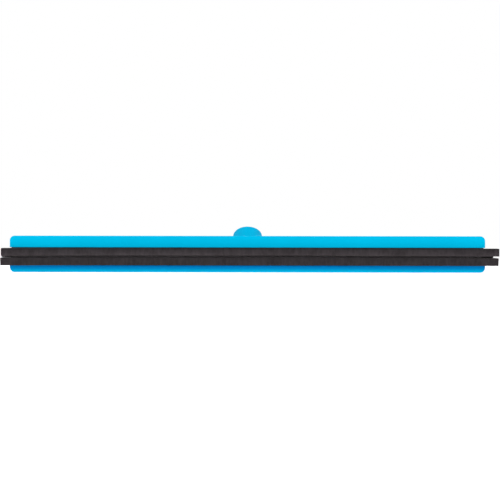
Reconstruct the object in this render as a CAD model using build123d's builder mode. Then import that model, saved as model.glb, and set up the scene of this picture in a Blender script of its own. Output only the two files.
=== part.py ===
from build123d import *
import os
from math import cos, radians, sin

# A twin-blade squeegee head for a pole, lying on the flat underside of its bar.
# +X runs along the bar, -Y points the way the blades reach, and +Z is up.
# The origin is the middle of the bar's underside. Sizes are in millimetres.

# Bar
bar_length = 580.0
bar_height = 44.3
bar_depth = 30.0
bar_corner_radius = 6.0
bar_edge_radius = 0.8
bar_wall = 3.0
bar_front_y = -bar_depth / 2
bar_back_y = bar_depth / 2

# Blade strips: two foam-rubber strips, one above and one below a common mid-plane, each a
# little off centre towards the end stop, as loosely cut strips lie
blade_plane_z = 19.0
blade_length = 600.0
blade_thickness = 9.2
blade_gap = 2.3
blade_reach = 28.0
blade_edge_radius = 0.5
upper_blade_shift = 3.2
lower_blade_shift = 2.4
blade_offset = (blade_thickness + blade_gap) / 2
upper_blade_z = blade_plane_z + blade_offset
lower_blade_z = blade_plane_z - blade_offset
blade_tip_y = bar_front_y - blade_reach

# The lips bend about two axes just in front of the bar, where each root is hollowed to take them
flex_axis_y = bar_front_y - 2.0
flex_clearance = 0.1
flex_radius = blade_thickness / 2

# Clearances used throughout: between pieces that touch, and past a face that a cut goes through
contact_gap = 0.05
cut_overrun = 1.0

# Channel along the bar: a throat, a chamber for the clamped roots and a slot for the core rail's head
throat_above = 11.1
throat_below = 10.7
throat_length = 3.0
throat_edge_radius = 0.5
chamber_half_height = 12.7
head_front_y = 0.0
head_thickness = 3.0
head_half_height = 14.2
head_clearance = 0.5

# Core rail
web_thickness = 2.2
web_front_y = bar_front_y + 0.8
web_edge_radius = 0.9
stop_clearance = 0.15
stop_half_height = 9.0
stop_depth = 11.0
stop_corner_radius = 2.0
pull_hole_radius = 2.4
pull_hole_x = (bar_length + blade_length) / 4
pull_hole_y = head_front_y + 6.6

# Clamped stack: core web, blade roots and clamp strips, riveted through
root_front_y = web_front_y
root_back_y = head_front_y - 0.2
clamp_thickness = 1.0
clamp_length = 572.0
clamp_front_y = -11.5
clamp_back_y = -1.0
clamp_corner_radius = 3.0
rivet_count = 12
rivet_spacing = 48.0
rivet_y = -6.0
rivet_radius = 1.6
rivet_hole_radius = rivet_radius + contact_gap
rivet_head_radius = 3.0
rivet_head_height = 0.85
rivet_head_edge = 0.5
clamp_inner = blade_gap / 2 + blade_thickness + contact_gap
clamp_outer = clamp_inner + clamp_thickness

# Handle socket: a tube leaning back from a screwed saddle
socket_lean = 49.5
socket_mouth_y = 56.0
socket_mouth_z = 45.5
tube_radius = 18.2
tube_run = 80.0
tube_rim_radius = 1.2
sleeve_radius = 15.75
sleeve_depth = 12.0
sleeve_chamfer = 0.8
bush_radius = 13.4
bush_length = 30.0
bush_key_width = 4.0
bush_key_height = 1.2
saddle_thickness = 5.0
saddle_length = 104.0
saddle_height = 42.4
saddle_corner_radius = 8.0
saddle_edge_radius = 1.2
junction_radius = 3.0
side_web_reach = 46.0
side_web_back_y = 47.0
side_web_tip_x = tube_radius - 3.0
side_web_z = 14.0
web_plate_thickness = 4.0
side_web_edge_radius = 1.5
least_web_slope = 0.3
top_web_depth = 9.0
saddle_front_y = bar_back_y + contact_gap
saddle_back_y = saddle_front_y + saddle_thickness

# Pole thread in the bush
thread_minor_radius = 9.6
thread_major_radius = 11.0
thread_pitch = 5.0
thread_root_width = 1.6
thread_mouth_width = 3.2
thread_turns = 6
bush_mouth_chamfer = 0.6

# Saddle screws
screw_x = 42.0
screw_low_z = 9.0
screw_high_z = 35.3
screw_radius = 2.2
screw_length = 11.0
screw_head_radius = 4.4
screw_head_height = 2.5
screw_head_edge = 0.8
screw_recess_width = 1.1
screw_recess_length = 4.8
screw_recess_depth = 1.5
screw_counterbore_radius = 4.8
screw_counterbore_depth = 2.8

# Cored back of the bar
pockets_per_side = 6
pocket_rib = 2.4
pocket_corner_radius = 2.0
pocket_inner_x = saddle_length / 2 + 5.0
pocket_floor_y = head_front_y + head_thickness + head_clearance + bar_wall
center_pocket_half_length = 30.0
top_pocket_bottom_z = blade_plane_z + head_half_height + head_clearance + bar_wall
top_pocket_front_y = bar_front_y + 4.0
pilot_tip_y = 4.8

# Planes
front_plane = Plane.XZ.offset(-bar_front_y)
back_plane = Plane.XZ.offset(-bar_back_y)
saddle_plane = Plane.XZ.offset(-saddle_front_y)
saddle_face_plane = Plane.XZ.offset(-saddle_back_y)
socket_direction = (0.0, cos(radians(socket_lean)), sin(radians(socket_lean)))
socket_plane = Plane(
    origin=(0, socket_mouth_y, socket_mouth_z), x_dir=(1, 0, 0), z_dir=socket_direction
)
tube_axis = Axis(socket_plane.origin, socket_direction)
bush_section_plane = Plane(
    origin=socket_plane.offset(-sleeve_depth).origin,
    x_dir=(1, 0, 0),
    z_dir=(0, -socket_direction[2], socket_direction[1]),
)
screw_points = [(x, z) for x in (-screw_x, screw_x) for z in (screw_low_z, screw_high_z)]

os.makedirs("parts", exist_ok=True)


def root_section(shift, center_z):
    """Section of a blade root: a block hollowed in front to take the lip's round heel."""
    with BuildSketch(Plane.YZ.offset(shift)) as section:
        with Locations(((root_front_y + root_back_y) / 2, center_z)):
            Rectangle(root_back_y - root_front_y, blade_thickness)
        with Locations((flex_axis_y, center_z)):
            Circle(flex_radius + flex_clearance, mode=Mode.SUBTRACT)
    return section.sketch


def lip_section(shift, center_z):
    """Section of a blade lip: a flat tongue whose heel is round about its bending axis."""
    with BuildSketch(Plane.YZ.offset(shift)) as section:
        with Locations(((blade_tip_y + flex_axis_y) / 2, center_z)):
            Rectangle(flex_axis_y - blade_tip_y, blade_thickness)
        with Locations((flex_axis_y, center_z)):
            Circle(flex_radius)
    return section.sketch


def rivet_circles(radius):
    """One circle per rivet, drawn on the plane of the bar's underside."""
    with BuildSketch(Plane.XY) as circles:
        with Locations((0, rivet_y)):
            with GridLocations(rivet_spacing, 1.0, rivet_count, 1):
                Circle(radius)
    return circles.sketch


def clamp_outline():
    """A clamp strip seen from above."""
    with BuildSketch(Plane.XY) as outline:
        with Locations((0, (clamp_front_y + clamp_back_y) / 2)):
            RectangleRounded(clamp_length, clamp_back_y - clamp_front_y, clamp_corner_radius)
    return outline.sketch


def pocket_row(bottom_z, top_z):
    """One row of core-out pockets on each side of the saddle, drawn on the bar's back."""
    outer_x = bar_length / 2 - bar_wall
    pitch = (outer_x - pocket_inner_x + pocket_rib) / pockets_per_side
    middle_x = (outer_x + pocket_inner_x) / 2
    with BuildSketch(back_plane) as row:
        for side in (-1, 1):
            with Locations((side * middle_x, (bottom_z + top_z) / 2)):
                with GridLocations(pitch, 1.0, pockets_per_side, 1):
                    RectangleRounded(pitch - pocket_rib, top_z - bottom_z, pocket_corner_radius)
    return row.sketch


# Frame bar: rounded beam, channelled in front and cored behind
with BuildPart() as frame_bar:
    with BuildSketch(front_plane):
        with Locations((0, bar_height / 2)):
            RectangleRounded(bar_length, bar_height, bar_corner_radius)
    extrude(amount=-bar_depth)
    fillet(frame_bar.faces().filter_by(Axis.Y).edges(), bar_edge_radius)

    with BuildSketch(Plane.YZ):
        throat_back_y = bar_front_y + throat_length
        slot_half_height = head_half_height + head_clearance
        slot_back_y = head_front_y + head_thickness + head_clearance
        with BuildLine():
            Polyline(
                (bar_front_y - cut_overrun, blade_plane_z - throat_below),
                (throat_back_y, blade_plane_z - throat_below),
                (throat_back_y, blade_plane_z - chamber_half_height),
                (head_front_y - head_clearance, blade_plane_z - chamber_half_height),
                (head_front_y - head_clearance, blade_plane_z - slot_half_height),
                (slot_back_y, blade_plane_z - slot_half_height),
                (slot_back_y, blade_plane_z + slot_half_height),
                (head_front_y - head_clearance, blade_plane_z + slot_half_height),
                (head_front_y - head_clearance, blade_plane_z + chamber_half_height),
                (throat_back_y, blade_plane_z + chamber_half_height),
                (throat_back_y, blade_plane_z + throat_above),
                (bar_front_y - cut_overrun, blade_plane_z + throat_above),
                close=True,
            )
        make_face()
    extrude(amount=bar_length, both=True, mode=Mode.SUBTRACT)
    mouth_edges = (
        frame_bar.edges()
        .filter_by(Axis.X)
        .filter_by_position(Axis.Y, bar_front_y - contact_gap, bar_front_y + contact_gap)
        .filter_by_position(Axis.Z, blade_plane_z - chamber_half_height, blade_plane_z + chamber_half_height)
    )
    fillet(mouth_edges, throat_edge_radius)

    extrude(
        pocket_row(bar_wall, bar_height - bar_wall),
        amount=bar_back_y - pocket_floor_y,
        mode=Mode.SUBTRACT,
    )
    extrude(
        pocket_row(top_pocket_bottom_z, bar_height - bar_wall),
        amount=bar_back_y - top_pocket_front_y,
        mode=Mode.SUBTRACT,
    )
    with BuildSketch(back_plane):
        with Locations((0, bar_height / 2)):
            RectangleRounded(2 * center_pocket_half_length, bar_height - 2 * bar_wall, pocket_corner_radius)
    extrude(amount=bar_back_y - pocket_floor_y, mode=Mode.SUBTRACT)
    with BuildSketch(back_plane):
        with Locations(*screw_points):
            Circle(screw_radius + contact_gap)
    extrude(amount=bar_back_y - pilot_tip_y, mode=Mode.SUBTRACT)
frame_bar.part.label = "frame_bar"
export_step(frame_bar.part, "parts/frame_bar.step")


# Handle socket: saddle plate, leaning tube, two side webs and a top web
with BuildPart() as handle_socket:
    with BuildSketch(saddle_plane) as saddle_outline:
        with Locations((0, saddle_height / 2)):
            Rectangle(saddle_length, saddle_height)
        fillet(saddle_outline.vertices().group_by(Axis.Y)[-1], saddle_corner_radius)
    extrude(amount=-saddle_thickness)
    with BuildSketch(socket_plane):
        Circle(tube_radius)
    extrude(amount=-tube_run)
    split(bisect_by=Plane.XY, keep=Keep.TOP)
    split(bisect_by=saddle_plane, keep=Keep.BOTTOM)
    back_edges = handle_socket.edges().filter_by_position(
        Axis.Y, saddle_back_y - contact_gap, saddle_back_y + contact_gap
    )
    fillet(back_edges.filter_by(GeomType.ELLIPSE), junction_radius)
    outline_edges = back_edges.filter_by_position(Axis.Z, contact_gap, bar_height)
    fillet(
        outline_edges.filter_by(GeomType.LINE) + outline_edges.filter_by(GeomType.CIRCLE),
        saddle_edge_radius,
    )

    with BuildSketch(Plane.XY.offset(side_web_z)):
        with BuildLine():
            Polyline(
                (-side_web_reach, saddle_front_y),
                (side_web_reach, saddle_front_y),
                (side_web_reach, saddle_back_y),
                (side_web_tip_x, side_web_back_y),
                (-side_web_tip_x, side_web_back_y),
                (-side_web_reach, saddle_back_y),
                close=True,
            )
        make_face()
    extrude(amount=web_plate_thickness)
    sloping_edges = (
        handle_socket.edges()
        .filter_by(GeomType.LINE)
        .filter_by(
            lambda edge: min(abs(edge.tangent_at(0.5).X), abs(edge.tangent_at(0.5).Y)) > least_web_slope
        )
    )
    fillet(sloping_edges, side_web_edge_radius)

    with BuildSketch(Plane.YZ):
        with BuildLine():
            Polyline(
                (saddle_front_y, saddle_height / 2),
                (saddle_front_y, saddle_height - saddle_edge_radius),
                (saddle_back_y + top_web_depth, saddle_height - saddle_edge_radius),
                (saddle_back_y + top_web_depth, saddle_height / 2),
                close=True,
            )
        make_face()
    extrude(amount=web_plate_thickness / 2, both=True)

    with BuildSketch(socket_plane):
        Circle(sleeve_radius)
    extrude(amount=-sleeve_depth, mode=Mode.SUBTRACT)
    with BuildSketch(socket_plane.offset(-sleeve_depth)):
        Circle(bush_radius + contact_gap)
        Rectangle(
            2 * (bush_radius + bush_key_height + contact_gap),
            bush_key_width + 2 * contact_gap,
        )
    extrude(amount=-bush_length - contact_gap, mode=Mode.SUBTRACT)

    mouth_circles = handle_socket.edges().filter_by(GeomType.CIRCLE).sort_by(tube_axis)
    rim_edge = mouth_circles.filter_by(lambda edge: edge.radius == tube_radius)[-1]
    fillet(rim_edge, tube_rim_radius)
    sleeve_edge = mouth_circles.filter_by(lambda edge: edge.radius == sleeve_radius)[-1]
    chamfer(sleeve_edge, sleeve_chamfer)

    with BuildSketch(saddle_face_plane):
        with Locations(*screw_points):
            Circle(screw_counterbore_radius)
    extrude(amount=screw_counterbore_depth, mode=Mode.SUBTRACT)
    with BuildSketch(saddle_face_plane):
        with Locations(*screw_points):
            Circle(screw_radius + contact_gap)
    extrude(amount=saddle_thickness, mode=Mode.SUBTRACT)
handle_socket.part.label = "handle_socket"
export_step(handle_socket.part, "parts/handle_socket.step")


# Threaded bush: hard liner keyed against turning, its coarse thread drawn as ring grooves
with BuildPart() as threaded_bush:
    with BuildSketch(bush_section_plane):
        with Locations(((thread_minor_radius + bush_radius) / 2, -bush_length / 2)):
            Rectangle(bush_radius - thread_minor_radius, bush_length)
        with Locations((thread_minor_radius, -bush_length / 2)):
            with GridLocations(1.0, thread_pitch, 1, thread_turns):
                Polygon(
                    (0, -thread_mouth_width / 2),
                    (thread_major_radius - thread_minor_radius, -thread_root_width / 2),
                    (thread_major_radius - thread_minor_radius, thread_root_width / 2),
                    (0, thread_mouth_width / 2),
                    align=None,
                    mode=Mode.SUBTRACT,
                )
    revolve(axis=tube_axis)
    with BuildSketch(socket_plane.offset(-sleeve_depth)):
        Rectangle(2 * (bush_radius + bush_key_height), bush_key_width)
        Circle(bush_radius - bush_key_height, mode=Mode.SUBTRACT)
    extrude(amount=-bush_length)
    crest_edges = threaded_bush.edges().filter_by(GeomType.CIRCLE).sort_by(tube_axis)
    mouth_edge = crest_edges.filter_by(lambda edge: edge.radius < thread_minor_radius + contact_gap)[-1]
    chamfer(mouth_edge, bush_mouth_chamfer)
threaded_bush.part.label = "threaded_bush"
export_step(threaded_bush.part, "parts/threaded_bush.step")


# Four cross-recess screws that hold the saddle to the bar
with BuildPart() as socket_screws:
    seat_plane = saddle_face_plane.offset(screw_counterbore_depth - contact_gap)
    with BuildSketch(seat_plane):
        with Locations(*screw_points):
            Circle(screw_head_radius)
    extrude(amount=-screw_head_height)
    fillet(socket_screws.faces().filter_by(Axis.Y).group_by(Axis.Y)[-1].edges(), screw_head_edge)
    with BuildSketch(seat_plane):
        with Locations(*screw_points):
            Circle(screw_radius)
    extrude(amount=screw_length)
    chamfer(socket_screws.faces().filter_by(Axis.Y).group_by(Axis.Y)[0].edges(), screw_radius / 2)
    with BuildSketch(seat_plane.offset(-screw_head_height)):
        with Locations(*screw_points):
            Rectangle(screw_recess_length, screw_recess_width)
            Rectangle(screw_recess_width, screw_recess_length)
    extrude(amount=screw_recess_depth, mode=Mode.SUBTRACT)
socket_screws.part.label = "socket_screws"
export_step(socket_screws.part, "parts/socket_screws.step")


# Core rail: web between the blades, head in the bar's slot, end stop with a pull hole
with BuildPart() as core_rail:
    with BuildSketch(Plane.YZ):
        with Locations(((web_front_y + head_front_y) / 2, blade_plane_z)):
            Rectangle(head_front_y - web_front_y, web_thickness)
    extrude(amount=blade_length / 2, both=True)
    fillet(core_rail.edges().filter_by(Axis.X).group_by(Axis.Y)[0], web_edge_radius)
    with BuildSketch(Plane.YZ):
        with Locations((head_front_y + head_thickness / 2, blade_plane_z)):
            Rectangle(head_thickness, 2 * head_half_height)
    extrude(amount=bar_length / 2, both=True)
    with BuildSketch(Plane.XY.offset(blade_plane_z)):
        with BuildLine():
            Polyline(
                (bar_length / 2 - head_thickness, head_front_y),
                (blade_length / 2, head_front_y),
                (blade_length / 2, head_front_y + stop_depth),
                (bar_length / 2 + stop_clearance, head_front_y + stop_depth),
                (bar_length / 2 + stop_clearance, head_front_y + head_thickness),
                (bar_length / 2 - head_thickness, head_front_y + head_thickness),
                close=True,
            )
        make_face()
        with Locations((pull_hole_x, pull_hole_y)):
            Circle(pull_hole_radius, mode=Mode.SUBTRACT)
    extrude(amount=stop_half_height, both=True)
    stop_corners = core_rail.edges().filter_by(Axis.Z).group_by(Axis.Y)[-1]
    fillet(stop_corners, stop_corner_radius)
    extrude(rivet_circles(rivet_hole_radius), amount=bar_height, mode=Mode.SUBTRACT)
core_rail.part.label = "core_rail"
export_step(core_rail.part, "parts/core_rail.step")


# Clamp strips: flat metal strips that press the blade roots against the web
with BuildPart() as upper_clamp_strip:
    extrude(clamp_outline(), amount=blade_plane_z + clamp_outer)
    split(bisect_by=Plane.XY.offset(blade_plane_z + clamp_inner), keep=Keep.TOP)
    extrude(rivet_circles(rivet_hole_radius), amount=bar_height, mode=Mode.SUBTRACT)
upper_clamp_strip.part.label = "upper_clamp_strip"
export_step(upper_clamp_strip.part, "parts/upper_clamp_strip.step")

with BuildPart() as lower_clamp_strip:
    extrude(clamp_outline(), amount=blade_plane_z - clamp_inner)
    split(bisect_by=Plane.XY.offset(blade_plane_z - clamp_outer), keep=Keep.TOP)
    extrude(rivet_circles(rivet_hole_radius), amount=bar_height, mode=Mode.SUBTRACT)
lower_clamp_strip.part.label = "lower_clamp_strip"
export_step(lower_clamp_strip.part, "parts/lower_clamp_strip.step")


# Rivets through the clamp strips, blade roots and web
with BuildPart() as blade_rivets:
    rivet_seat = clamp_outer + contact_gap
    middle_plane = Plane.XY.offset(blade_plane_z)
    for head_plane in (middle_plane.offset(rivet_seat), middle_plane.offset(-rivet_seat)):
        outward = 1 if head_plane.origin.Z > blade_plane_z else -1
        with BuildSketch(head_plane):
            with Locations((0, rivet_y)):
                with GridLocations(rivet_spacing, 1.0, rivet_count, 1):
                    Circle(rivet_head_radius)
        extrude(amount=outward * rivet_head_height)
    head_faces = blade_rivets.faces().filter_by(Axis.Z).group_by(Axis.Z)
    fillet(head_faces[0].edges() + head_faces[-1].edges(), rivet_head_edge)
    with BuildSketch(middle_plane):
        with Locations((0, rivet_y)):
            with GridLocations(rivet_spacing, 1.0, rivet_count, 1):
                Circle(rivet_radius)
    extrude(amount=rivet_seat, both=True)
blade_rivets.part.label = "blade_rivets"
export_step(blade_rivets.part, "parts/blade_rivets.step")


# Blade strips: each is one strip of foam rubber, held as a clamped root and a bending lip
with BuildPart() as upper_blade_root:
    extrude(root_section(upper_blade_shift, upper_blade_z), amount=blade_length / 2, both=True)
    extrude(rivet_circles(rivet_hole_radius), amount=bar_height, mode=Mode.SUBTRACT)
upper_blade_root.part.label = "upper_blade_root"
export_step(upper_blade_root.part, "parts/upper_blade_root.step")

with BuildPart() as upper_blade_lip:
    extrude(lip_section(upper_blade_shift, upper_blade_z), amount=blade_length / 2, both=True)
    fillet(upper_blade_lip.edges().filter_by(Axis.X).group_by(Axis.Y)[0], blade_edge_radius)
upper_blade_lip.part.label = "upper_blade_lip"
export_step(upper_blade_lip.part, "parts/upper_blade_lip.step")

with BuildPart() as lower_blade_root:
    extrude(root_section(lower_blade_shift, lower_blade_z), amount=blade_length / 2, both=True)
    extrude(rivet_circles(rivet_hole_radius), amount=bar_height, mode=Mode.SUBTRACT)
lower_blade_root.part.label = "lower_blade_root"
export_step(lower_blade_root.part, "parts/lower_blade_root.step")

with BuildPart() as lower_blade_lip:
    extrude(lip_section(lower_blade_shift, lower_blade_z), amount=blade_length / 2, both=True)
    fillet(lower_blade_lip.edges().filter_by(Axis.X).group_by(Axis.Y)[0], blade_edge_radius)
lower_blade_lip.part.label = "lower_blade_lip"
export_step(lower_blade_lip.part, "parts/lower_blade_lip.step")
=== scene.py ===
"""Looks for a twin-blade squeegee head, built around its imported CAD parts.

The CAD parts keep their shapes and get procedural materials. The two foam-rubber blades are
modelled here as continuous strips that bend where they leave the bar.
"""

import math

import bpy
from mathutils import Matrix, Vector, noise


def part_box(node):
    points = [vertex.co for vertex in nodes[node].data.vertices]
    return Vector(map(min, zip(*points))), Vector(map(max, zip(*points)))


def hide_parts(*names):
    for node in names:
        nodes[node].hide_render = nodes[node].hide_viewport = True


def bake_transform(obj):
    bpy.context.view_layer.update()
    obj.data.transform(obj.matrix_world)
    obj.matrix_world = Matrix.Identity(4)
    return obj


MM = 0.001

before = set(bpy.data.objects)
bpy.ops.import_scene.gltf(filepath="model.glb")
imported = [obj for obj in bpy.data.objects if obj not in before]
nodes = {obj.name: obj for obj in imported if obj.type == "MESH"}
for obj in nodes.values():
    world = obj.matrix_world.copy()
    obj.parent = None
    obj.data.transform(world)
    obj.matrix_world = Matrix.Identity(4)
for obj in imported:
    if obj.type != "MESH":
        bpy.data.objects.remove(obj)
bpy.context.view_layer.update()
bar_low, bar_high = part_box("frame_bar")


# ---------------------------------------------------------------- material building

BEVEL_SAMPLES = 4
FULL_EDGE = 0.86  # the dot product of flat and rounded normals that counts as a full edge


class Graph:
    """A material's node tree, with short calls for the nodes that the materials here share.

    Positions fed to textures are in millimetres, so a texture's scale is one over its grain in mm.
    """

    def __init__(self, name, rest_attribute=None):
        self.material = bpy.data.materials.new(name)
        self.material.use_nodes = True
        self.tree = self.material.node_tree
        self.tree.nodes.clear()
        if rest_attribute:
            place = self.node("ShaderNodeAttribute", attribute_name=rest_attribute).outputs["Vector"]
        else:
            place = self.node("ShaderNodeTexCoord").outputs["Object"]
        self.position = self.node(
            "ShaderNodeVectorMath", {0: place, "Scale": 1 / MM}, operation="SCALE"
        ).outputs[0]

    def node(self, kind, inputs=None, **settings):
        made = self.tree.nodes.new(kind)
        for key, value in settings.items():
            setattr(made, key, value)
        for key, value in (inputs or {}).items():
            self.feed(made.inputs[key], value)
        return made

    def feed(self, socket, value):
        if isinstance(value, bpy.types.NodeSocket):
            self.tree.links.new(value, socket)
        else:
            socket.default_value = value

    def components(self):
        """The position's X, Y and Z, in millimetres."""
        return self.node("ShaderNodeSeparateXYZ", {0: self.position}).outputs

    def stretched(self, factors):
        """The position with each axis multiplied by its factor, for streaks and brushing."""
        return self.node(
            "ShaderNodeVectorMath", {0: self.position, 1: factors}, operation="MULTIPLY"
        ).outputs[0]

    def noise(self, grain, detail=3.0, roughness=0.55, vector=None, distortion=0.0):
        """Cloudy noise whose features are about grain millimetres across, from 0 to 1."""
        made = self.node(
            "ShaderNodeTexNoise",
            {
                "Vector": vector or self.position,
                "Scale": 1 / grain,
                "Detail": detail,
                "Roughness": roughness,
                "Distortion": distortion,
            },
        )
        return made.outputs["Fac"]

    def cells(self, grain):
        """Distance to the nearest of many points set about grain millimetres apart."""
        made = self.node("ShaderNodeTexVoronoi", {"Vector": self.position, "Scale": 1 / grain})
        return made.outputs["Distance"]

    def spread(self, value, low, high, to_low=0.0, to_high=1.0, smooth=False):
        """value mapped from low..high to to_low..to_high, and held at the ends."""
        made = self.node(
            "ShaderNodeMapRange",
            {0: value, 1: low, 2: high, 3: to_low, 4: to_high},
            interpolation_type="SMOOTHSTEP" if smooth else "LINEAR",
        )
        return made.outputs[0]

    def calculate(self, operation, a, b=0.0):
        return self.node("ShaderNodeMath", {0: a, 1: b}, operation=operation).outputs[0]

    def blend(self, share, a, b):
        """Colour a turning into colour b as share goes from 0 to 1.

        A Mix node has inputs A and B for each data type. Its colour ones are at places 6 and 7,
        its colour result at place 2.
        """
        made = self.node("ShaderNodeMix", data_type="RGBA")
        self.feed(made.inputs["Factor"], share)
        for key, color in ((6, a), (7, b)):
            opaque = color if isinstance(color, bpy.types.NodeSocket) else (*color, 1.0)
            self.feed(made.inputs[key], opaque)
        return made.outputs[2]

    def blend_numbers(self, share, a, b):
        """Number a turning into number b as share goes from 0 to 1."""
        return self.node("ShaderNodeMix", {0: share, 2: a, 3: b}).outputs[0]

    def edges(self, radius):
        """1 on sharp outer edges and 0 on flat faces, from how far a rounded normal turns."""
        rounded = self.node("ShaderNodeBevel", {"Radius": radius}, samples=BEVEL_SAMPLES).outputs["Normal"]
        flat = self.node("ShaderNodeNewGeometry").outputs["Normal"]
        turned = self.node(
            "ShaderNodeVectorMath", {0: rounded, 1: flat}, operation="DOT_PRODUCT"
        ).outputs["Value"]
        return self.spread(turned, 1.0, FULL_EDGE)

    def bump(self, height, strength, distance, normal=None):
        """A normal tilted by height, on top of another bump's normal if one is given."""
        inputs = {"Height": height, "Strength": strength, "Distance": distance}
        if normal:
            inputs["Normal"] = normal
        return self.node("ShaderNodeBump", inputs).outputs["Normal"]

    def finish(self, **values):
        """Closes the graph with a Principled shader. Keys are its input names with _ for a space."""
        shader = self.node(
            "ShaderNodeBsdfPrincipled", {key.replace("_", " "): value for key, value in values.items()}
        )
        self.node("ShaderNodeOutputMaterial", {"Surface": shader.outputs[0]})
        return self.material


# ---------------------------------------------------------------- materials

SHADE_REACH = 8.5 * MM  # how close something overhead has to be to shade the blue plastic
SHADE_SAMPLES = 8
SHADE_DEPTH = 0.92  # the share of the shade colour under something that covers the whole sky
SHADE_ENDS = 0.5  # the share of open sky at which the shade is gone
SKIN_TONE = 0.9  # how bright the blades' long faces are beside their cut tips
TIP_FADE = (0.4, 1.6)  # mm behind the tip, where the cut face's painted shading gives way to the long faces' tone
NOSE_DARKENING = 0.70  # how far the core rail's nose is darkened
NOSE_FADE = (1.0, 4.0)  # mm behind the nose, where that darkening thins out
END_DARKENING = 14  # mm of the core rail inside the bar's ends, over which its ends' darkening thins out


def blue_plastic():
    """Moulded polypropylene: even bright blue, fine satin grain, faint flow marks and scuffs."""
    g = Graph("blue_plastic")
    cloud = g.noise(90, detail=2)
    color = g.blend(g.spread(cloud, 0.3, 0.7), (0.0, 0.455, 0.735), (0.0, 0.497, 0.785))
    flow = g.noise(7, detail=4, vector=g.stretched((0.12, 1, 1)))
    color = g.blend(g.spread(flow, 0.62, 0.8, 0.0, 0.25), color, (0.0, 0.56, 0.85))
    scratch = g.noise(0.7, detail=2, vector=g.stretched((0.05, 1, 1)), distortion=0.6)
    scratch = g.spread(scratch, 0.68, 0.74)
    scratch = g.calculate("MULTIPLY", scratch, g.spread(g.noise(28), 0.55, 0.7))
    color = g.blend(g.calculate("MULTIPLY", scratch, 0.25), color, (0.02, 0.58, 0.84))
    edge = g.edges(0.9 * MM)
    color = g.blend(g.calculate("MULTIPLY", edge, 0.22), color, (0.01, 0.54, 0.80))
    color = g.blend(overhead_shade(g), color, (0.0, 0.268, 0.775))
    grain = g.noise(0.35, detail=2)
    roughness = g.spread(g.noise(4), 0.3, 0.7, 0.40, 0.52)
    roughness = g.calculate("ADD", roughness, g.calculate("MULTIPLY", scratch, 0.12))
    normal = g.bump(grain, 0.16, 0.05 * MM)
    normal = g.bump(g.noise(45, detail=1), 0.25, 0.5 * MM, normal)
    return g.finish(
        Base_Color=color,
        Roughness=roughness,
        Specular_IOR_Level=0.12,
        Specular_Tint=(0.05, 0.65, 1.0, 1.0),
        Normal=normal,
    )


def overhead_shade(g):
    """High where something hangs close overhead, as the blades do over the bar's lower front, else 0."""
    up = g.node("ShaderNodeCombineXYZ", {"Z": 1.0}).outputs[0]
    open_above = g.node(
        "ShaderNodeAmbientOcclusion", {"Distance": SHADE_REACH, "Normal": up}, samples=SHADE_SAMPLES
    ).outputs["AO"]
    return g.spread(open_above, 0.0, SHADE_ENDS, SHADE_DEPTH, 0.0)


def foam_rubber(name, tip_y, painted_lower_edge_light, painted_upper_edge_light, inner_face):
    """Closed-cell foam rubber with knife-cut faces: charcoal, cloudy, finely pored.

    The two tones are painted light and shade on the cut tip: they scale its brightness at its lower
    and upper edge. inner_face gives the places across the strip, from 0 to 1, where the talc on its
    slot side starts and is full.
    """
    g = Graph(name, rest_attribute="rest_place")
    cloud = g.noise(14, detail=5, roughness=0.65, vector=g.stretched((0.7, 1, 1)))
    color = g.blend(g.spread(cloud, 0.36, 0.64), (0.0215, 0.0175, 0.0195), (0.0415, 0.0355, 0.039))
    grain = g.noise(0.9, detail=4, roughness=0.7)
    color = g.blend(g.spread(grain, 0.3, 0.75, 0.0, 0.45), color, (0.050, 0.043, 0.046))
    pores = g.spread(g.cells(0.9), 0.10, 0.34)
    pores = g.calculate("MAXIMUM", pores, g.spread(g.noise(5), 0.42, 0.60))
    color = g.blend(pores, (0.010, 0.008, 0.009), color)
    cut_marks = g.noise(2.2, detail=3, roughness=0.6, vector=g.stretched((1, 0.22, 0.22)))
    color = g.blend(g.spread(cut_marks, 0.40, 0.66, 0.0, 0.60), color, (0.060, 0.051, 0.055))
    smear = g.noise(12, detail=3, vector=g.stretched((0.16, 1, 1)), distortion=1.2)
    smear = g.spread(smear, 0.60, 0.72)
    color = g.blend(g.calculate("MULTIPLY", smear, 0.20), color, (0.058, 0.053, 0.060))
    # Lighter along the rounded edges: partly edge wear and partly a painted highlight.
    edge = g.edges(0.5 * MM)
    color = g.blend(g.calculate("MULTIPLY", edge, 0.35), color, (0.062, 0.055, 0.057))
    across = g.node("ShaderNodeAttribute", attribute_name="across").outputs["Fac"]
    # Painted shading on the cut tip: its brightness runs from the lower edge's tone to the upper edge's.
    painted_shading = g.spread(across, 0.0, 1.0, painted_lower_edge_light, painted_upper_edge_light)
    tip = tip_y / MM
    behind = g.spread(g.components()["Y"], tip + TIP_FADE[0], tip + TIP_FADE[1])
    painted_shading = g.blend_numbers(behind, painted_shading, SKIN_TONE)
    color = g.node("ShaderNodeVectorMath", {0: color, "Scale": painted_shading}, operation="SCALE").outputs[0]
    inner = g.spread(across, *inner_face)
    talc = g.calculate("MULTIPLY", inner, g.spread(g.noise(6, detail=4), 0.3, 0.7, 0.8, 1.0))
    color = g.blend(talc, color, (0.155, 0.140, 0.146))
    height = g.calculate("MULTIPLY", pores, 0.6)
    normal = g.bump(height, 0.35, 0.12 * MM)
    normal = g.bump(g.noise(0.45, detail=3), 0.30, 0.08 * MM, normal)
    normal = g.bump(g.noise(11, detail=2), 0.30, 0.5 * MM, normal)
    roughness = g.spread(grain, 0.3, 0.7, 0.78, 0.94)
    return g.finish(
        Base_Color=color,
        Roughness=roughness,
        Specular_IOR_Level=0.12,
        Sheen_Weight=0.02,
        Sheen_Roughness=0.5,
        Normal=normal,
    )


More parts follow.
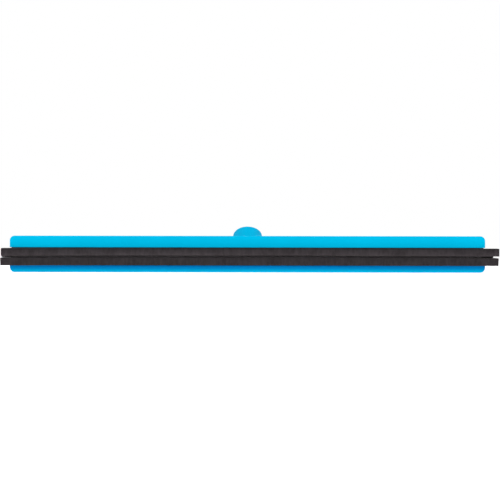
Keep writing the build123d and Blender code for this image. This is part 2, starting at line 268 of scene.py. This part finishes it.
def grey_plastic():
    """Extruded pale grey plastic: die lines, rub marks, blackened along its nose and at its ends."""
    g = Graph("grey_plastic")
    lines = g.noise(0.5, detail=3, vector=g.stretched((0.01, 1, 1)))
    color = g.blend(lines, (0.41, 0.375, 0.39), (0.51, 0.47, 0.49))
    rub = g.spread(g.noise(9, detail=4, vector=g.stretched((0.3, 1, 1))), 0.60, 0.75)
    color = g.blend(g.calculate("MULTIPLY", rub, 0.4), color, (0.60, 0.565, 0.58))
    color = g.blend(g.calculate("MULTIPLY", g.edges(0.4 * MM), 0.5), color, (0.62, 0.59, 0.60))
    place = g.components()
    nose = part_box("core_rail")[0].y / MM
    # Darker towards the nose and towards both ends, in mottled near-black tones.
    nose_darkening = g.spread(place["Y"], nose + NOSE_FADE[0], nose + NOSE_FADE[1], NOSE_DARKENING, 0.0, smooth=True)
    bar_end = bar_high.x / MM
    end_darkening = g.spread(g.calculate("ABSOLUTE", place["X"]), bar_end - END_DARKENING, bar_end, smooth=True)
    darkened = g.calculate("MAXIMUM", end_darkening, nose_darkening)
    mottle = g.spread(g.noise(5, detail=5, roughness=0.65), 0.35, 0.68)
    color = g.blend(darkened, color, g.blend(mottle, (0.032, 0.028, 0.029), (0.078, 0.070, 0.072)))
    normal = g.bump(lines, 0.25, 0.06 * MM)
    normal = g.bump(g.noise(0.4), 0.12, 0.04 * MM, normal)
    roughness = g.spread(rub, 0.0, 1.0, 0.38, 0.6)
    return g.finish(Base_Color=color, Roughness=roughness, Specular_IOR_Level=0.4, Normal=normal)


def bush_nylon():
    """Dark glass-filled nylon: mottled grey with short pale fibres at the surface."""
    g = Graph("bush_nylon")
    color = g.blend(g.noise(3, detail=4), (0.035, 0.037, 0.040), (0.075, 0.078, 0.082))
    fibres = g.spread(g.noise(0.25, detail=2, vector=g.stretched((1, 0.15, 0.15))), 0.66, 0.72)
    color = g.blend(g.calculate("MULTIPLY", fibres, 0.5), color, (0.20, 0.20, 0.20))
    color = g.blend(g.calculate("MULTIPLY", g.edges(0.4 * MM), 0.5), color, (0.18, 0.18, 0.19))
    normal = g.bump(g.noise(0.5, detail=3), 0.25, 0.06 * MM)
    return g.finish(Base_Color=color, Roughness=g.spread(fibres, 0, 1, 0.48, 0.65), Normal=normal)


def metal(name, pale, dark, brushing, roughness):
    """A metal with strokes stretched by the brushing factors, tarnish clouds and polished edges."""
    g = Graph(name)
    strokes = g.noise(0.35, detail=4, vector=g.stretched(brushing))
    tarnish = g.noise(8, detail=5)
    color = g.blend(g.spread(tarnish, 0.35, 0.7), pale, dark)
    color = g.blend(g.calculate("MULTIPLY", strokes, 0.3), color, pale)
    polished = tuple(min(1.0, 1.25 * share) for share in pale)
    color = g.blend(g.calculate("MULTIPLY", g.edges(0.3 * MM), 0.6), color, polished)
    normal = g.bump(strokes, 0.18, 0.03 * MM)
    rough = g.spread(g.calculate("ADD", strokes, tarnish), 0.7, 1.3, roughness - 0.08, roughness + 0.14)
    return g.finish(Base_Color=color, Metallic=1.0, Roughness=rough, Normal=normal)


def finish_cad_parts():
    """Gives each CAD part that stays in view its material."""
    even, lengthwise = (1, 1, 1), (0.04, 1, 1)
    blue = blue_plastic()
    aluminium = metal("aluminium", (0.60, 0.60, 0.61), (0.42, 0.43, 0.44), even, 0.48)
    anodised = metal("black_anodised", (0.050, 0.048, 0.050), (0.022, 0.021, 0.022), lengthwise, 0.45)
    finishes = {
        "frame_bar": blue,
        "handle_socket": blue,
        "threaded_bush": bush_nylon(),
        "socket_screws": metal("stainless", (0.66, 0.65, 0.63), (0.50, 0.49, 0.47), even, 0.30),
        "core_rail": grey_plastic(),
        "upper_clamp_strip": anodised,
        "lower_clamp_strip": anodised,
        "blade_rivets": aluminium,
    }
    for name, material in finishes.items():
        mesh = nodes[name].data
        mesh.materials.clear()
        mesh.materials.append(material)


# ---------------------------------------------------------------- blade strips

STATION_STEP = 1.5 * MM  # along the strip
RING_STEP = 1.2 * MM  # along the strip's depth
FACE_STEPS = 8  # across the tip face
EDGE_RADIUS = 0.45 * MM
EDGE_STEPS = 3
END_STATIONS = (0.0, 0.15, 0.45)  # shares of the edge radius, where its rounded ends have stations
TIP_HOLLOW = 0.28 * MM  # how far the knife-cut tip face dips in its middle
TIP_DEPTH = 2 * MM  # how far behind the tip face its wander fades out
TIP_WAVE = 0.30 * MM  # how far the free edge wanders up and down
LONG_WAVE = 110 * MM  # the grain of that wander, which both strips share
SHORT_WAVE = 35 * MM  # the grain of a smaller wander of each strip's own
SHORT_SHARE = 0.15  # its size beside the long one
BOW_RISE = 0.15 * MM  # how far the free edge stands up in the middle of its length
BOW_DROOP = 0.50 * MM  # and hangs down at its ends
CUT_WAVE = 0.22 * MM  # how far the cut tip wanders in and out
CUT_GRAIN = 60 * MM
PITTING = 0.05 * MM
PIT_GRAIN = 1.6 * MM


def strip_profile(back_y, tip_y, half_thickness):
    """The strip's outline as (y, z) pairs, from the back's lower corner round the tip to its upper one."""
    corner_y = tip_y + EDGE_RADIUS
    flat_steps = round((back_y - corner_y) / RING_STEP)
    lower = []
    for k in range(flat_steps):
        lower.append((back_y + (corner_y - back_y) * k / flat_steps, -half_thickness))
    for k in range(EDGE_STEPS + 1):
        turn = math.radians(90) * k / EDGE_STEPS
        y = corner_y - EDGE_RADIUS * math.sin(turn)
        z = -half_thickness + EDGE_RADIUS * (1 - math.cos(turn))
        lower.append((y, z))
    face_bottom = lower[-1][1]
    face = [(tip_y, face_bottom - 2 * face_bottom * k / FACE_STEPS) for k in range(1, FACE_STEPS)]
    upper = [(y, -z) for y, z in reversed(lower)]
    return lower + face + upper


def strip_stations(start_x, end_x):
    """Places along the strip: even steps between its rounded ends, closer ones on them."""
    rounding = [EDGE_RADIUS * share for share in END_STATIONS]
    first, last = start_x + EDGE_RADIUS, end_x - EDGE_RADIUS
    steps = round((last - first) / STATION_STEP)
    stations = [start_x + r for r in rounding]
    stations += [first + (last - first) * k / steps for k in range(steps + 1)]
    stations += [end_x - r for r in reversed(rounding)]
    return stations


def end_inset(distance):
    """How far the outline draws in at this distance from the strip's end, to round the end's edges."""
    if distance >= EDGE_RADIUS:
        return 0.0
    run = 1 - distance / EDGE_RADIUS
    return EDGE_RADIUS * (1 - math.sqrt(max(0.0, 1 - run * run)))


def edge_shift(x, start_x, end_x, seed):
    """How far the strip's free edge stands above its straight place at x."""
    wave = noise.noise(Vector((x / LONG_WAVE, 0.0, 0.0)))
    wave += SHORT_SHARE * noise.noise(Vector((x / SHORT_WAVE, seed, 4.0)))
    along = (2 * x - start_x - end_x) / (end_x - start_x)
    bow = BOW_RISE - (BOW_RISE + BOW_DROOP) * along * along
    return TIP_WAVE * wave + bow


def strip_vertices(profile, stations, tip_y, half, seed):
    """The strip's vertices around z 0, one ring of profile points at each station."""
    start_x, end_x = stations[0], stations[-1]
    vertices = []
    for x in stations:
        inset = end_inset(min(x - start_x, end_x - x))
        shift = edge_shift(x, start_x, end_x, seed)
        cut = CUT_WAVE * (1 + noise.noise(Vector((x / CUT_GRAIN, seed, 8.0))))
        for y, z in profile:
            reach = max(0.0, min(1.0, (bar_low.y - y) / (bar_low.y - tip_y)))
            at_tip = max(0.0, 1 - (y - tip_y) / TIP_DEPTH)
            on_face = y <= tip_y + EDGE_RADIUS / 2
            hollow = TIP_HOLLOW * (1 - (z / half) ** 2) if on_face else 0.0
            pit = PITTING * noise.noise(Vector((x / PIT_GRAIN, y / PIT_GRAIN + seed, z / PIT_GRAIN)))
            new_y = y + at_tip * (inset + cut) + hollow + pit * at_tip
            new_z = z * (1 - inset / half) + shift * reach * reach + pit * reach
            vertices.append((x, new_y, new_z))
    return vertices


def strip_faces(ring, rings):
    """Faces between neighbouring rings of vertices, and rows of quads that close both ends."""
    faces = []
    for row in range(rings - 1):
        base = row * ring
        for k in range(ring):
            after = (k + 1) % ring
            faces.append((base + k, base + after, base + ring + after, base + ring + k))
    for base, flip in ((0, False), ((rings - 1) * ring, True)):
        for k in range(ring // 2 - 1):
            quad = (base + k, base + ring - 1 - k, base + ring - 2 - k, base + k + 1)
            faces.append(tuple(reversed(quad)) if flip else quad)
    return faces


def make_strip(name, root, lip, seed):
    """One foam strip in the place of its CAD root and lip, with slightly wandering knife-cut faces.

    Its mesh keeps two attributes for its material: rest_place, the place of each vertex before
    the strip bends, and across, from 0 on its lower face to 1 on its upper one.
    """
    root_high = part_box(root)[1]
    lip_low, lip_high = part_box(lip)
    half = (lip_high.z - lip_low.z) / 2
    middle_z = (lip_high.z + lip_low.z) / 2
    profile = strip_profile(root_high.y, lip_low.y, half)
    stations = strip_stations(lip_low.x, lip_high.x)
    vertices = strip_vertices(profile, stations, lip_low.y, half, seed)

    mesh = bpy.data.meshes.new(name)
    placed = [(x, y, middle_z + z) for x, y, z in vertices]
    mesh.from_pydata(placed, [], strip_faces(len(profile), len(stations)))
    mesh.validate()
    mesh.update()
    mesh.shade_smooth()
    rest = mesh.attributes.new("rest_place", "FLOAT_VECTOR", "POINT")
    rest.data.foreach_set("vector", [c for v in mesh.vertices for c in v.co])
    across = mesh.attributes.new("across", "FLOAT", "POINT")
    shares = [0.5 + z / (2 * half) for y, z in profile]
    across.data.foreach_set("value", shares * len(stations))
    strip = bpy.data.objects.new(name, mesh)
    bpy.context.scene.collection.objects.link(strip)
    return strip


def add_strips():
    """Both foam strips, each in place of its CAD root and lip and bending between their bodies."""
    # The tones are painted light on the cut tips: the upper strip's tip is painted lighter on the whole
    # than the lower one's, and each tip darker at its top than at its bottom.
    looks = (
        ("upper", 3.0, 0.97, 0.42, (0.004, 0.0)),
        ("lower", 17.0, 0.69, 0.49, (0.996, 1.0)),
    )
    for side, seed, painted_lower_edge_light, painted_upper_edge_light, inner_face in looks:
        root, lip = f"{side}_blade_root", f"{side}_blade_lip"
        strip = make_strip(f"{side}_blade_strip", root, lip, seed)
        tip_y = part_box(lip)[0].y
        strip.data.materials.append(foam_rubber(f"{side}_foam", tip_y, painted_lower_edge_light, painted_upper_edge_light, inner_face))
        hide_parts(root, lip)
        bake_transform(strip)


# ---------------------------------------------------------------- studio

CAMERA_DISTANCE = 2.0  # from the blade tips
VIEW_WIDTH = 0.6014  # what the camera takes in at the blade tips
VIEW_SHIFT = 0.0134  # the frame's centre is above the lens axis by this share of its width
CAMERA_X = 3.1 * MM
CAMERA_ROLL = -0.09  # degrees
SENSOR_WIDTH = 36.0
FLOOR_RADIUS = 6.0
FLOOR_DROP = 0.3 * MM  # below the bar's underside
FLOOR_BOUNCE = 0.60  # how strongly the floor lights the object from below
FLOOR_SHADOWS = (350, 1100)  # mm from the object, where the floor goes from shadowed to plain white
FLOOR_GLOW = (0.42, 1.1)  # what the floor adds there for the camera
SKY_FILL = 0.48  # how strongly the surroundings light the object
SKY_SEEN = 1.0  # how bright they are for the camera
STUDIO_AIM = (0, 0, 0.02)  # what the softboxes point at


def add_floor():
    """A pale floor that reads as white from the camera, with soft shadows under the object."""
    bpy.ops.mesh.primitive_circle_add(
        vertices=96, radius=FLOOR_RADIUS, fill_type="NGON", location=(0, 0, -FLOOR_DROP)
    )
    floor = bpy.context.object
    floor.name = "floor"
    g = Graph("pale_floor")
    tone = g.blend(g.noise(900, detail=2), (0.80, 0.80, 0.80), (0.84, 0.84, 0.84))
    diffuse = g.node("ShaderNodeBsdfDiffuse", {"Color": tone, "Roughness": 1.0})
    seen = g.node("ShaderNodeLightPath").outputs["Is Camera Ray"]
    away = g.node("ShaderNodeVectorMath", {0: g.position}, operation="LENGTH").outputs["Value"]
    to_camera = g.spread(away, *FLOOR_SHADOWS, *FLOOR_GLOW, smooth=True)
    strength = g.spread(seen, 0.0, 1.0, FLOOR_BOUNCE, to_camera)
    glow = g.node("ShaderNodeEmission", {"Color": (1, 1, 1, 1), "Strength": strength})
    both = g.node("ShaderNodeAddShader", {0: diffuse.outputs[0], 1: glow.outputs[0]})
    g.node("ShaderNodeOutputMaterial", {"Surface": both.outputs[0]})
    floor.data.materials.append(g.material)


def add_surroundings():
    """White all round: SKY_SEEN bright for the camera, and SKY_FILL bright as a light."""
    world = bpy.data.worlds.new("studio")
    bpy.context.scene.world = world
    world.use_nodes = True
    tree = world.node_tree
    tree.nodes.clear()
    fill = tree.nodes.new("ShaderNodeBackground")
    fill.inputs["Color"].default_value = (1, 1, 1, 1)
    fill.inputs["Strength"].default_value = SKY_FILL
    white = tree.nodes.new("ShaderNodeBackground")
    white.inputs["Color"].default_value = (1, 1, 1, 1)
    white.inputs["Strength"].default_value = SKY_SEEN
    path = tree.nodes.new("ShaderNodeLightPath")
    mix = tree.nodes.new("ShaderNodeMixShader")
    out = tree.nodes.new("ShaderNodeOutputWorld")
    tree.links.new(path.outputs["Is Camera Ray"], mix.inputs[0])
    tree.links.new(fill.outputs[0], mix.inputs[1])
    tree.links.new(white.outputs[0], mix.inputs[2])
    tree.links.new(mix.outputs[0], out.inputs["Surface"])


def add_softbox(name, place, width, height, watts, mirrored):
    """A rectangular area light at place. Glossy surfaces reflect it only if mirrored is true."""
    light = bpy.data.lights.new(name, "AREA")
    light.shape = "RECTANGLE"
    light.size, light.size_y = width, height
    light.energy = watts
    box = bpy.data.objects.new(name, light)
    box.location = place
    box.rotation_euler = (Vector(STUDIO_AIM) - Vector(place)).to_track_quat("-Z", "Y").to_euler()
    box.visible_glossy = mirrored
    bpy.context.scene.collection.objects.link(box)


def add_studio():
    """A wide softbox in front, a thin one at the height of the blades' slot and a high one behind."""
    add_surroundings()
    add_softbox("front_softbox", (0.0, -2.6, 0.505), 3.2, 0.8, 46, mirrored=False)
    add_softbox("slot_light", (0.0, -2.6, 0.02), 3.2, 0.08, 9, mirrored=False)
    add_softbox("back_softbox", (0.0, 2.2, 1.9), 2.4, 1.2, 45, mirrored=True)
    scene = bpy.context.scene
    scene.view_settings.view_transform = "Standard"
    scene.view_settings.look = "None"


def add_camera():
    """Level with the middle of the two blades, straight on to the bar."""
    camera_data = bpy.data.cameras.new("camera")
    camera_data.sensor_width = SENSOR_WIDTH
    camera_data.lens = SENSOR_WIDTH * CAMERA_DISTANCE / VIEW_WIDTH
    camera_data.shift_y = VIEW_SHIFT
    camera = bpy.data.objects.new("camera", camera_data)
    upper_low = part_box("upper_blade_lip")[0]
    lower_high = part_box("lower_blade_lip")[1]
    blade_plane_z = (upper_low.z + lower_high.z) / 2
    camera.location = (CAMERA_X, upper_low.y - CAMERA_DISTANCE, blade_plane_z)
    camera.rotation_euler = (math.radians(90), math.radians(CAMERA_ROLL), 0)
    bpy.context.scene.collection.objects.link(camera)
    bpy.context.scene.camera = camera


finish_cad_parts()
add_strips()
add_floor()
add_studio()
add_camera()
